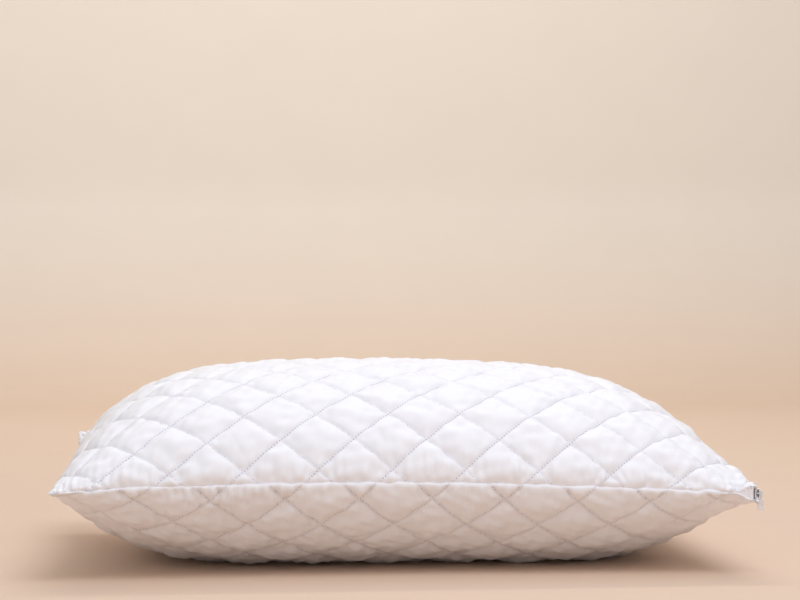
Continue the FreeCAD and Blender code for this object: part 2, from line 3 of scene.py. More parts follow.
import bmesh
import bpy
import numpy as np
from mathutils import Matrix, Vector


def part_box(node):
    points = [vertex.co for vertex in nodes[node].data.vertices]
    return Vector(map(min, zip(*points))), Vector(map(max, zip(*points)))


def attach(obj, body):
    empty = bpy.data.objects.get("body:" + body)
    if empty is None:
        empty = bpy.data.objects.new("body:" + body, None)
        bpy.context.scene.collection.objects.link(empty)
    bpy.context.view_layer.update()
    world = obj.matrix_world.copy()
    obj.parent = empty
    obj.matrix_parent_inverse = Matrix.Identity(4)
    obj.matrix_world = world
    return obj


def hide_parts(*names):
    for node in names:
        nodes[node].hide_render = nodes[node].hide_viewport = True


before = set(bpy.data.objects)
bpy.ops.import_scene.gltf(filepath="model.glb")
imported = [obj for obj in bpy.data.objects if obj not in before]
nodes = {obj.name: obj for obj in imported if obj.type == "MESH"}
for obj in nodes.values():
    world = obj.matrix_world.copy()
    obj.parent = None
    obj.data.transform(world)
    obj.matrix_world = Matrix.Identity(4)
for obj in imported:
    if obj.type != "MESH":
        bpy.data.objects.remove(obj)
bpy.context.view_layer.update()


# ---- camera, floor and light

camera = {"turn": 5.72, "distance": 2.049, "height": 0.2577, "aside": 0.0148, "lens": 90.0}


def setCamera():
    # level, a little to the left of the pillow's front, so the zipped end is further away
    turn = math.radians(camera["turn"])
    data = bpy.data.cameras.new("camera")
    data.lens = camera["lens"]
    data.sensor_width = 36.0
    data.clip_start = 0.05
    cameraObject = bpy.data.objects.new("camera", data)
    along, across = camera["distance"], camera["aside"]
    cameraObject.location = (
        across * math.cos(turn) - along * math.sin(turn),
        -across * math.sin(turn) - along * math.cos(turn),
        camera["height"],
    )
    cameraObject.rotation_euler = (math.pi / 2, 0, -turn)
    bpy.context.scene.collection.objects.link(cameraObject)
    bpy.context.scene.camera = cameraObject
    print("camera set")


setCamera()


def linearColour(hexText):
    # sRGB hex to the linear values that shaders take
    channels = [int(hexText[i : i + 2], 16) / 255 for i in (1, 3, 5)]
    linear = [c / 12.92 if c <= 0.04045 else ((c + 0.055) / 1.055) ** 2.4 for c in channels]
    return (*linear, 1.0)


def newMaterial(name):
    material = bpy.data.materials.new(name)
    material.use_nodes = True
    material.node_tree.nodes.clear()
    return material


def addNode(tree, kind, inputs=None, **settings):
    # one node: settings are its own, inputs are values or sockets to link, by name or number
    node = tree.nodes.new(kind)
    for key, setting in settings.items():
        setattr(node, key, setting)
    for key, given in (inputs or {}).items():
        socket = node.inputs[key]
        if isinstance(given, bpy.types.NodeSocket):
            tree.links.new(given, socket)
        else:
            socket.default_value = given
    return node


def linked(name, mesh):
    # an object of its own for a mesh, in the scene
    thing = bpy.data.objects.new(name, mesh)
    bpy.context.scene.collection.objects.link(thing)
    return thing


def keepModified(thing):
    # the thing's mesh becomes what its modifiers make of it, and the modifiers go
    evaluated = thing.evaluated_get(bpy.context.evaluated_depsgraph_get())
    thing.data = bpy.data.meshes.new_from_object(evaluated)
    thing.modifiers.clear()


def assign(thing, material):
    thing.data.materials.clear()
    thing.data.materials.append(material)


stageSizes = {
    "halfFloor": 6.0,
    "frontAt": -4.0,
    "backAt": 2.75,
    "curve": 0.6,
    "curveSteps": 12,
    "wallTop": 4.5,
    "floor": "#e4cbb6",
    "wall": "#f3ece2",
}


def plasterSweep():
    # matt painted board: a faint mottle, no gloss
    material = newMaterial("paintedBoard")
    tree = material.node_tree
    place = addNode(tree, "ShaderNodeTexCoord")
    heightAxis = addNode(tree, "ShaderNodeSeparateXYZ", {0: place.outputs["Object"]})
    blendUp = addNode(
        tree, "ShaderNodeMapRange", {"Value": heightAxis.outputs["Z"], "From Min": 0.0, "From Max": 0.5}
    )
    mottle = addNode(
        tree, "ShaderNodeTexNoise", {"Vector": place.outputs["Object"], "Scale": 6.0, "Detail": 3.0}
    )
    tone = addNode(
        tree,
        "ShaderNodeMix",
        {
            "Factor": blendUp.outputs[0],
            6: linearColour(stageSizes["floor"]),
            7: linearColour(stageSizes["wall"]),
        },
        data_type="RGBA",
    )
    faint = addNode(
        tree,
        "ShaderNodeMapRange",
        {"Value": mottle.outputs[0], "From Min": 0.3, "From Max": 0.7, "To Min": 0.985, "To Max": 1.0},
    )
    shade = addNode(
        tree,
        "ShaderNodeMix",
        {"Factor": 1.0, 6: tone.outputs[2], 7: faint.outputs[0]},
        data_type="RGBA",
        blend_type="MULTIPLY",
    )
    board = addNode(tree, "ShaderNodeBsdfPrincipled", {"Base Color": shade.outputs[2], "Roughness": 0.85})
    board.inputs["Specular IOR Level"].default_value = 0.2
    addNode(tree, "ShaderNodeOutputMaterial", {"Surface": board.outputs[0]})
    return material


def setStage():
    # a pale floor that curves up into a wall behind the pillow
    half, back, bend = stageSizes["halfFloor"], stageSizes["backAt"], stageSizes["curve"]
    profile = [(stageSizes["frontAt"], 0.0), (back, 0.0)]
    for k in range(1, stageSizes["curveSteps"] + 1):
        angle = math.pi / 2 * k / stageSizes["curveSteps"]
        profile.append((back + bend * math.sin(angle), bend * (1 - math.cos(angle))))
    profile.append((back + bend, stageSizes["wallTop"]))
    mesh = bpy.data.meshes.new("sweep")
    points = [(side * half, y, z) for y, z in profile for side in (-1, 1)]
    faces = [(2 * k, 2 * k + 1, 2 * k + 3, 2 * k + 2) for k in range(len(profile) - 1)]
    mesh.from_pydata(points, [], faces)
    sweep = linked("sweep", mesh)
    for polygon in mesh.polygons:
        polygon.use_smooth = True
    assign(sweep, plasterSweep())


lights = {
    # name: place, point it faces, width, height, power in watts, colour
    "keyBox": ((0.5, -1.35, 2.0), (0, 0, 0.1), 1.6, 1.0, 22.0, "#f5f7ff"),
    "fillBox": ((-1.7, -1.5, 1.0), (0, 0, 0.1), 1.4, 1.4, 3.5, "#ffffff"),
    "topBox": ((0.4, 0.3, 2.2), (0, 0.1, 0.1), 2.0, 1.4, 9.5, "#f8faff"),
    "wallBox": ((0.0, 1.7, 3.2), (0, 3.35, 0.7), 3.0, 0.8, 46.0, "#fffcf4"),
}


def setLights():
    for name, (place, target, width, height, power, colour) in lights.items():
        data = bpy.data.lights.new(name, "AREA")
        data.shape = "RECTANGLE"
        data.size, data.size_y = width, height
        data.energy = power
        data.color = linearColour(colour)[:3]
        lamp = bpy.data.objects.new(name, data)
        lamp.location = place
        lamp.rotation_euler = (Vector(target) - Vector(place)).to_track_quat("-Z", "Y").to_euler()
        bpy.context.scene.collection.objects.link(lamp)
    world = bpy.data.worlds.new("studio")
    world.use_nodes = True
    world.node_tree.nodes["Background"].inputs[0].default_value = linearColour("#fbf9fb")
    world.node_tree.nodes["Background"].inputs[1].default_value = 0.45
    bpy.context.scene.world = world
    bpy.context.scene.view_settings.view_transform = "Standard"


setStage()
setLights()
print("stage and lights set")


# ---- the pillow's form, in metres

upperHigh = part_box("upper_face_fabric")[1]

form = {
    "halfLength": upperHigh.x,
    "halfWidth": upperHigh.y,
    "top": upperHigh.z,
    "seam": 0.090,  # side seam above the underside
    "belly": 0.099,  # how deep the lower panel would hang if nothing held it up
    "restBlend": 0.010,  # height over which the belly rolls onto its flat underside
    "sidePull": 0.013,  # front and back seams drawn in by the filling
    "leftPull": 0.010,
    "zipDrop": 0.012,
    "leftDrop": 0.006,
    "cornerLift": 0.026,
    "zipOpening": 0.012,  # height of the slot that the zip fills
    "shutGape": 0.0002,  # and of half the slot where the seam is sewn shut
    "zipPlateau": 0.005,
    "zipRun": 0.013,
    "leftCrown": (3.85, 0.62),
    "zipCrown": (4.2, 0.64),
    "widthCrown": (2.1, 0.64),
}


def crownShare(u, v):
    def share(s, powers):
        return np.maximum(0.0, 1 - np.abs(s) ** powers[0]) ** powers[1]

    lengthwise = np.where(u > 0, share(u, form["zipCrown"]), share(u, form["leftCrown"]))
    return lengthwise * share(v, form["widthCrown"])


def seamHeight(u, v):
    left, zipped, back = np.maximum(0, -u), np.maximum(0, u), np.maximum(0, v)
    level = form["seam"] - form["zipDrop"] * zipped**1.4 - form["leftDrop"] * left**4.4
    return level + form["cornerLift"] * left**4 * back**4


def planPoint(u, v, inset=0.0):
    x = (form["halfLength"] - inset) * u + form["leftPull"] * (1 - v * v) * np.maximum(0, -u) ** 3
    y = (form["halfWidth"] - inset) * v - form["sidePull"] * (1 - u * u) * np.abs(v) ** 3 * np.sign(v)
    return x, y


def zipGape(x):
    # half the space between the panels' edges at x: shut along the sewn sides, open at the zip
    share = np.clip(1 - (form["halfLength"] - form["zipPlateau"] - x) / form["zipRun"], 0, 1)
    wide = form["zipOpening"] / 2 - form["shutGape"]
    return form["shutGape"] + wide * share * share * (3 - 2 * share)


def shutShare(x):
    # 1 where the seam is sewn shut, and 0 beside the zip
    return 1 - (zipGape(x) - form["shutGape"]) / (form["zipOpening"] / 2)


def rolledOnto(height, floor):
    blend = form["restBlend"]
    overlap = np.maximum(0, blend - np.abs(height - floor)) / blend
    return np.maximum(height, floor) + overlap * overlap * blend / 4


def surfacePoints(u, v, isUpper, inset=0.0, sink=0.0):
    # a smooth surface of the pillow, sink below its envelope at the crown
    x, y = planPoint(u, v, inset)
    if isUpper:
        z = seamHeight(u, v) + zipGape(x) + (form["top"] - form["seam"] - sink) * crownShare(u, v)
    else:
        z = rolledOnto(seamHeight(u, v) - zipGape(x) - (form["belly"] - sink) * crownShare(u, v), sink)
    return np.stack([x, y, z], axis=-1)


# ---- quilting

quilting = {
    "square": 0.0478,  # side of a quilted diamond
    "cellSteps": 20,  # cloth spacings across a diamond's diagonal
    "puff": 0.0027,  # how far a diamond stands above its stitches
    "upperPhase": -0.0134,  # a crossing of the upper panel's stitches, along the front seam from the middle
    "lowerPhase": 0.0243,
    "upperFirstRow": 4,  # cloth spacings from the front seam to the first row of crossings
    "lowerFirstRow": 5,
    "seamTuck": 0.0030,  # how deep the cloth turns into the seam
    "lip": 0.0012,  # how far the lower panel's rolled edge stands out
    "lipDrop": 0.0006,
    "lap": 0.0011,  # how far each panel's edge passes the other's inside the seam
    "underside": 0.0004,  # lowest the cloth may come, just above the floor
}
diagonal = quilting["square"] * math.sqrt(2)
spacing = diagonal / quilting["cellSteps"]


def arcTable(isUpper, lengthwise):
    # cloth length along the middle of the panel, as a table from u or v
    parameter = np.linspace(-1, 1, 4001)
    zero = np.zeros_like(parameter)
    u, v = (parameter, zero - 0.35) if lengthwise else (zero, parameter)
    points = surfacePoints(u, v, isUpper)
    steps = np.linalg.norm(np.diff(points, axis=0), axis=1)
    return parameter, np.concatenate([[0], np.cumsum(steps)])


class Panel:
    # a quilted panel as a grid of cloth, whose stitch lines run through its points
    def __init__(self, name, isUpper):
        self.name, self.isUpper = name, isUpper
        phase = quilting["upperPhase" if isUpper else "lowerPhase"]
        firstRow = quilting["upperFirstRow" if isUpper else "lowerFirstRow"]
        parameter, arc = arcTable(isUpper, True)
        middle = np.interp(0, parameter, arc)
        leftCount = round((middle + phase) / spacing)
        rightCount = round((arc[-1] - middle - phase) / spacing)
        self.leftCount, self.firstRow = leftCount, firstRow
        steps = np.arange(-leftCount, rightCount + 1)
        share = (steps + leftCount) / (leftCount + rightCount)
        self.u = np.interp(share * arc[-1], arc, parameter)
        parameter, arc = arcTable(isUpper, False)
        rows = round(arc[-1] / spacing)
        self.v = np.interp(np.arange(rows + 1) / rows * arc[-1], arc, parameter)
        self.columns, self.rows = len(self.u), len(self.v)
        i, j = np.meshgrid(steps, np.arange(rows + 1) - firstRow, indexing="ij")
        self.risingLine, self.fallingLine = (i - j), (i + j)
        period = quilting["cellSteps"]
        self.onRising = self.risingLine % period == 0
        self.onFalling = self.fallingLine % period == 0
        self.stitched = self.onRising | self.onFalling

    def edgeDistance(self):
        # cloth spacings to the nearest seam
        i, j = np.meshgrid(np.arange(self.columns), np.arange(self.rows), indexing="ij")
        return np.minimum(np.minimum(i, self.columns - 1 - i), np.minimum(j, self.rows - 1 - j))

    def smoothGrid(self, inset=0.0, sink=0.0):
        u, v = np.meshgrid(self.u, self.v, indexing="ij")
        return surfacePoints(u, v, self.isUpper, inset, sink)


def gridNormals(grid, isUpper):
    along = np.gradient(grid, axis=0)
    across = np.gradient(grid, axis=1)
    normals = np.cross(along, across)
    normals /= np.linalg.norm(normals, axis=-1, keepdims=True) + 1e-12
    return normals if isUpper else -normals


def fold(distance, wide):
    return np.exp(-((distance / wide) ** 2))


def puffedGrid(panel):
    # the panel before its cloth is let go: diamonds drawn down along their stitches
    grid = panel.smoothGrid()
    normals = gridNormals(grid, panel.isUpper)
    period = quilting["cellSteps"]
    rising = np.abs(np.sin(math.pi * panel.risingLine / period))
    falling = np.abs(np.sin(math.pi * panel.fallingLine / period))
    distance = panel.edgeDistance()
    atSeam = np.clip(distance / 4, 0.3, 1)
    depth = quilting["puff"] * (1 - (rising * falling) ** 0.22) * atSeam
    grid = grid - normals * depth[..., None]
    # the edge turns in at the seam
    u, v = np.meshgrid(panel.u, panel.v, indexing="ij")
    edge = distance == 0
    x, y = planPoint(u, v, quilting["seamTuck"])
    side = 1 if panel.isUpper else -1
    # shut seams lap: the upper panel's edge goes down behind the lower panel's rolled lip
    lap = shutShare(x) * (-quilting["lap"] if panel.isUpper else quilting["lap"])
    grid[edge] = np.stack([x, y, seamHeight(u, v) + side * zipGape(x) + lap], axis=-1)[edge]
    if not panel.isUpper:
        lip = distance == 1
        x, y = planPoint(u, v, -quilting["lip"])
        grid[lip] = np.stack([x, y, seamHeight(u, v) - quilting["lipDrop"] - zipGape(x)], axis=-1)[lip]
        grid[..., 2] = np.maximum(grid[..., 2], quilting["underside"])
    return grid


def gridMesh(name, grid, flip):
    columns, rows = grid.shape[:2]
    index = np.arange(columns * rows).reshape(columns, rows)
    quads = np.stack([index[:-1, :-1], index[1:, :-1], index[1:, 1:], index[:-1, 1:]], axis=-1).reshape(-1, 4)
    if flip:
        quads = quads[:, ::-1]
    mesh = bpy.data.meshes.new(name)
    mesh.from_pydata(grid.reshape(-1, 3).tolist(), [], quads.tolist())
    mesh.polygons.foreach_set("use_smooth", [True] * len(mesh.polygons))
    thing = linked(name, mesh)
    return thing


clothing = {
    "enlarge": 10,  # Blender's cloth behaves better at ten times the size
    "frames": 26,
    "pressure": 1.2,
    "slack": 0.012,  # spare cloth in the middle of a diamond, as a share of its length
    "seamSlack": 0.06,  # and next to the seams, where it gathers
    "cap": 0.0045,  # furthest any point may move
}


def letClothGo(panel, thing):
    # wadding swells the cloth between stitches and seams, which are held
    mesh = thing.data
    count = len(mesh.vertices)
    start = np.empty(count * 3)
    mesh.vertices.foreach_get("co", start)
    mesh.vertices.foreach_set("co", start * clothing["enlarge"])
    distance = panel.edgeDistance().ravel()
    held = panel.stitched.ravel() | (distance < (1 if panel.isUpper else 2))
    heldGroup = thing.vertex_groups.new(name="held")
    heldGroup.add(np.nonzero(held)[0].tolist(), 1.0, "REPLACE")
    slackGroup = thing.vertex_groups.new(name="slack")
    nearSeam = np.exp(-((distance / 5.0) ** 2))
    for level in range(1, 11):
        chosen = np.nonzero(np.round(nearSeam * 10) == level)[0].tolist()
        slackGroup.add(chosen, level / 10, "REPLACE")
    cloth = thing.modifiers.new("cloth", "CLOTH")
    settings = cloth.settings
    settings.quality = 4
    settings.mass = 0.3
    settings.tension_stiffness = settings.compression_stiffness = 15
    settings.shear_stiffness = 5
    settings.bending_stiffness = 0.15
    settings.air_damping = 2
    settings.use_pressure = True
    settings.uniform_pressure_force = clothing["pressure"]
    settings.effector_weights.gravity = 0
    settings.vertex_group_mass = "held"
    settings.vertex_group_shrink = "slack"
    settings.shrink_min = -clothing["slack"]
    settings.shrink_max = -clothing["seamSlack"]
    cloth.collision_settings.use_collision = False
    cloth.collision_settings.use_self_collision = False
    cloth.point_cache.frame_end = clothing["frames"]
    scene = bpy.context.scene
    for moment in range(1, clothing["frames"] + 1):
        scene.frame_set(moment)
    evaluated = thing.evaluated_get(bpy.context.evaluated_depsgraph_get())
    settled = np.empty(count * 3)
    evaluated.data.vertices.foreach_get("co", settled)
    thing.modifiers.remove(cloth)
    for group in (heldGroup, slackGroup):
        thing.vertex_groups.remove(group)
    scene.frame_set(1)
    move = settled.reshape(-1, 3) / clothing["enlarge"] - start.reshape(-1, 3)
    length = np.linalg.norm(move, axis=1, keepdims=True)
    move *= clothing["cap"] * np.tanh(length / clothing["cap"]) / np.maximum(length, 1e-9)
    place = start.reshape(-1, 3) + move
    if not panel.isUpper:
        place[:, 2] = np.maximum(place[:, 2], quilting["underside"])
    mesh.vertices.foreach_set("co", place.ravel())
    mesh.update()
    print("cloth settled", thing.name, "largest move", round(float(length.max()) * 1000, 2), "mm")


pinching = {
    "crease": 0.0011,  # extra depth right at a stitch line
    "creaseWide": 0.0013,
    "pucker": 0.0017,  # gathers that run off the seams
    "puckerReach": 0.013,
    "foldDeep": 0.0026,  # the sharper fold where a stitch line meets a seam
    "foldWide": 0.0024,
    "foldReach": 0.015,
    "ripple": 0.00030,  # slight unevenness of the cloth everywhere
    "inlandStart": 0.0015,  # nothing moves this near the seam's edge
    "inlandRun": 0.006,
    "risingShade": 0.0013,  # width of the painted crease shade beside a stitch line
    "fallingShade": 0.0012,
    "fallingShadeShare": 0.6,  # how dark the painted shade beside the second set of lines is, as a share of the first
    "waves": 9,
    "ripples": 14,
}


def finerPlaces(panel, thing):
    # one subdivision, with each vertex's place on the cloth, in metres from the front left corner
    mesh = thing.data
    i, j = np.meshgrid(np.arange(panel.columns), np.arange(panel.rows), indexing="ij")
    onCloth = mesh.attributes.new("onCloth", "FLOAT_VECTOR", "POINT")
    flat = np.stack([i, j, 0 * i], axis=-1).astype(np.float32) * spacing
    onCloth.data.foreach_set("vector", flat.ravel())
    finer = thing.modifiers.new("finer", "SUBSURF")
    finer.levels = finer.render_levels = 1
    finer.boundary_smooth = "PRESERVE_CORNERS"
    keepModified(thing)
    mesh = thing.data
    count = len(mesh.vertices)
    place, cloth, normal = np.empty(count * 3), np.empty(count * 3), np.empty(count * 3)
    mesh.vertices.foreach_get("co", place)
    mesh.attributes["onCloth"].data.foreach_get("vector", cloth)
    mesh.vertex_normals.foreach_get("vector", normal)
    return place.reshape(-1, 3), cloth.reshape(-1, 3)[:, :2], normal.reshape(-1, 3)


def pinchCloth(panel, thing):
    # creases, gathers and the folds that run off the seams, and the share of painted crease shade beside the
    # stitch lines
    place, cloth, normal = finerPlaces(panel, thing)
    random = np.random.default_rng(11 if panel.isUpper else 23)
    long, wide = (panel.columns - 1) * spacing, (panel.rows - 1) * spacing
    x, y = cloth[:, 0] - panel.leftCount * spacing, cloth[:, 1] - panel.firstRow * spacing
    rising, falling = (x - y) / math.sqrt(2), (x + y) / math.sqrt(2)
    side = quilting["square"]
    offRising = np.abs((rising + side / 2) % side - side / 2)
    offFalling = np.abs((falling + side / 2) % side - side / 2)
    toFront, toBack = cloth[:, 1], wide - cloth[:, 1]
    toLeft, toZip = cloth[:, 0], long - cloth[:, 0]
    toSeam = np.minimum(np.minimum(toFront, toBack), np.minimum(toLeft, toZip))
    inland = np.clip((toSeam - pinching["inlandStart"]) / pinching["inlandRun"], 0, 1)
    # painted shade: a darker tint beside each stitch line, weaker beside the lines that run down to the right
    nearRising, nearFalling = (
        fold(offRising, pinching["risingShade"]),
        pinching["fallingShadeShare"] * fold(offFalling, pinching["fallingShade"]),
    )
    near = np.maximum(nearRising, nearFalling).astype(np.float32)
    thing.data.attributes.new("paintedCreaseShade", "FLOAT", "POINT").data.foreach_set("value", near)
    creaseWide = pinching["creaseWide"]
    creases = np.maximum(fold(offRising, creaseWide), fold(offFalling, creaseWide))
    shift = -pinching["crease"] * creases * inland
    # gathers: uneven waves along each seam that die away from it
    for away, along, end in (
        (toFront, cloth[:, 0], 1.0),
        (toBack, cloth[:, 0], 1.0),
        (toLeft, cloth[:, 1], 1.0),
        (toZip, cloth[:, 1], 1.5),
    ):
        waves = np.zeros_like(along)
        for _ in range(pinching["waves"]):
            length = random.uniform(0.0075, 0.019)
            reach = pinching["puckerReach"] * random.uniform(0.6, 1.8)
            swell = 0.5 + 0.5 * np.sin(along / random.uniform(0.03, 0.09) + random.uniform(0, 6))
            gathers = np.sin(2 * math.pi * along / length + random.uniform(0, 6))
            waves += swell * gathers * np.exp(-away / reach)
        shift += end * pinching["pucker"] * waves * inland / 2.2
    # folds where the stitch lines run into a seam
    fromFirstRow, fromFirstColumn = panel.firstRow * spacing, panel.leftCount * spacing
    for away, along, count, across, inwards in (
        (toFront, x, 24, -fromFirstRow, 1),
        (toBack, x, 24, wide - fromFirstRow, -1),
        (toLeft, y, 18, -fromFirstColumn, 1),
        (toZip, y, 18, long - fromFirstColumn, -1),
    ):
        for k in range(-count, count):
            for lean in (-1, 1):
                deep = random.uniform(0.25, 1.0) * pinching["foldDeep"]
                reach = random.uniform(0.6, 1.3) * pinching["foldReach"]
                aside = random.uniform(-0.004, 0.004)
                centre = k * diagonal + lean * across + aside + lean * 0.45 * away * inwards
                shift -= deep * fold(along - centre, pinching["foldWide"]) * np.exp(-away / reach) * inland
    for _ in range(pinching["ripples"]):
        turn, length = random.uniform(0, math.pi), random.uniform(0.012, 0.045)
        wave = (x * math.cos(turn) + y * math.sin(turn)) * 2 * math.pi / length
        uneven = np.sin(wave + random.uniform(0, 6)) * np.sin(0.37 * wave + random.uniform(0, 6))
        shift += pinching["ripple"] * uneven
    place = place + normal * shift[:, None]
    if not panel.isUpper:
        place[:, 2] = np.maximum(place[:, 2], quilting["underside"])
    thing.data.vertices.foreach_set("co", place.ravel())
    thing.data.update()
    print("pinched", thing.name, len(thing.data.polygons))


def bakeNodes(thing, tree, settings):
    # runs a Geometry Nodes tree once and keeps its result as a plain mesh
    modifier = thing.modifiers.new(tree.name, "NODES")
    modifier.node_group = tree
    for item in tree.interface.items_tree:
        if item.item_type == "SOCKET" and item.in_out == "INPUT" and item.name in settings:
            modifier[item.identifier] = settings[item.name]
    evaluated = thing.evaluated_get(bpy.context.evaluated_depsgraph_get())
    mesh = bpy.data.meshes.new_from_object(evaluated)
    thing.modifiers.remove(modifier)
    thing.data = mesh
    mesh.polygons.foreach_set("use_smooth", [True] * len(mesh.polygons))
    return thing


def newTree(name, inputs):
    # a Geometry Nodes tree with named inputs: name -> (kind, default)
    tree = bpy.data.node_groups.new(name, "GeometryNodeTree")
    tree.interface.new_socket("Geometry", in_out="INPUT", socket_type="NodeSocketGeometry")
    for label, (kind, default) in inputs.items():
        socket = tree.interface.new_socket(label, in_out="INPUT", socket_type="NodeSocket" + kind)
        if default is not None:
            socket.default_value = default
    tree.interface.new_socket("Geometry", in_out="OUTPUT", socket_type="NodeSocketGeometry")
    return tree, addNode(tree, "NodeGroupInput").outputs


bandLength = 0.314  # a wave texture's bands lie this far apart at scale 1, in metres


def bumpedCloth(material, colour, paintedCreaseShadeColour, thread, roughness):
    # woven cloth: two crossed sets of threads, a fine crinkle, and painted shade: a darker colour in its
    # creases beside the stitch lines
    tree = material.node_tree
    place = addNode(tree, "ShaderNodeAttribute", attribute_name="onCloth")
    wave = {"Scale": bandLength / thread, "Distortion": 0.6, "Detail": 1.0}
    warp, weft = (
        addNode(tree, "ShaderNodeTexWave", {"Vector": place.outputs["Vector"], **wave}, bands_direction=axis)
        for axis in "XY"
    )
    weave = addNode(tree, "ShaderNodeMath", {0: warp.outputs[1], 1: weft.outputs[1]}, operation="MULTIPLY")
    crinkle = addNode(
        tree,
        "ShaderNodeTexNoise",
        {"Vector": place.outputs["Vector"], "Scale": 160.0, "Detail": 4.0, "Roughness": 0.6},
    )
    crumple = addNode(
        tree, "ShaderNodeBump", {"Strength": 0.12, "Distance": 0.0012, "Height": crinkle.outputs[0]}
    )
    threads = addNode(
        tree,
        "ShaderNodeBump",
        {"Strength": 0.1, "Distance": thread / 3, "Height": weave.outputs[0], "Normal": crumple.outputs[0]},
    )
    # painted crease shade: the cloth's colour is mixed towards a darker one beside the stitch lines
    near = addNode(tree, "ShaderNodeAttribute", attribute_name="paintedCreaseShade")
    tone = addNode(
        tree,
        "ShaderNodeMix",
        {"Factor": near.outputs["Fac"], 6: linearColour(colour), 7: linearColour(paintedCreaseShadeColour)},
        data_type="RGBA",
    )
    cloth = addNode(
        tree,
        "ShaderNodeBsdfPrincipled",
        {
            "Base Color": tone.outputs[2],
            "Roughness": roughness,
            "Specular IOR Level": 0.4,
            "Sheen Weight": 0.12,
            "Sheen Roughness": 0.35,
            "Normal": threads.outputs[0],
        },
    )
    addNode(tree, "ShaderNodeOutputMaterial", {"Surface": cloth.outputs[0]})
    return material


# brushed polyester microfibre: bright white with a soft satin sheen. Its threads lie 0.15 mm apart and are
# drawn 0.9 mm apart, or they would not show
# the second colour of each cloth is the painted shade in its creases beside the stitch lines
faceCloth = bumpedCloth(newMaterial("microfibreSatin"), "#f6f6fa", "#eceaf0", 0.0009, 0.5)
# spun-bonded polypropylene, the felt-like lining and casing: matt, slightly grey
nonWoven = bumpedCloth(newMaterial("spunBondedFleece"), "#eeedea", "#e2e0dc", 0.0011, 0.85)


def polyesterThread():
    # twisted sewing thread: white, a little glossier than the cloth, roughened by its 0.25 mm twist
    material = newMaterial("polyesterThread")
    tree = material.node_tree
    place = addNode(tree, "ShaderNodeTexCoord")
    twist = addNode(
        tree, "ShaderNodeTexNoise", {"Vector": place.outputs["Object"], "Scale": 3800.0, "Detail": 1.0}
    )
    ribs = addNode(tree, "ShaderNodeBump", {"Strength": 0.3, "Distance": 0.0001, "Height": twist.outputs[0]})
    shade = addNode(
        tree,
        "ShaderNodeMix",
        {"Factor": twist.outputs[0], 6: linearColour("#ffffff"), 7: linearColour("#efedf2")},
        data_type="RGBA",
    )
    thread = addNode(
        tree,
        "ShaderNodeBsdfPrincipled",
        {"Base Color": shade.outputs[2], "Roughness": 0.4, "Normal": ribs.outputs[0]},
    )
    addNode(tree, "ShaderNodeOutputMaterial", {"Surface": thread.outputs[0]})
    return material


def needleHole():
    # painted shade: grey-lilac dots that stand for the shade in the dimple where the needle drew the thread
    # down
    material = newMaterial("needleHoleShade")
    tree = material.node_tree
    place = addNode(tree, "ShaderNodeTexCoord")
    depth = addNode(tree, "ShaderNodeTexNoise", {"Vector": place.outputs["Object"], "Scale": 220.0})
    # painted shade: two greys mixed at random from dot to dot
    shade = addNode(
        tree,
        "ShaderNodeMix",
        {"Factor": depth.outputs[0], 6: linearColour("#aaa4b2"), 7: linearColour("#c9c5cf")},
        data_type="RGBA",
    )
    hole = addNode(tree, "ShaderNodeBsdfPrincipled", {"Base Color": shade.outputs[2], "Roughness": 0.9})
    addNode(tree, "ShaderNodeOutputMaterial", {"Surface": hole.outputs[0]})
    return material


threadMaterial, holeShadeMaterial = polyesterThread(), needleHole()

stitching = {
    "pitch": 0.0035,
    "length": 0.0024,
    "thick": 0.0007,
    # hole: width of each dot of painted needle-hole shade
    "hole": 0.0012,
    "fallingHoleShade": 0.7,  # size of the other lines' dots of painted hole shade, as a share: less shade shows at their holes in this light
    "raised": 0.00025,  # thread's middle above the cloth in the crease
}


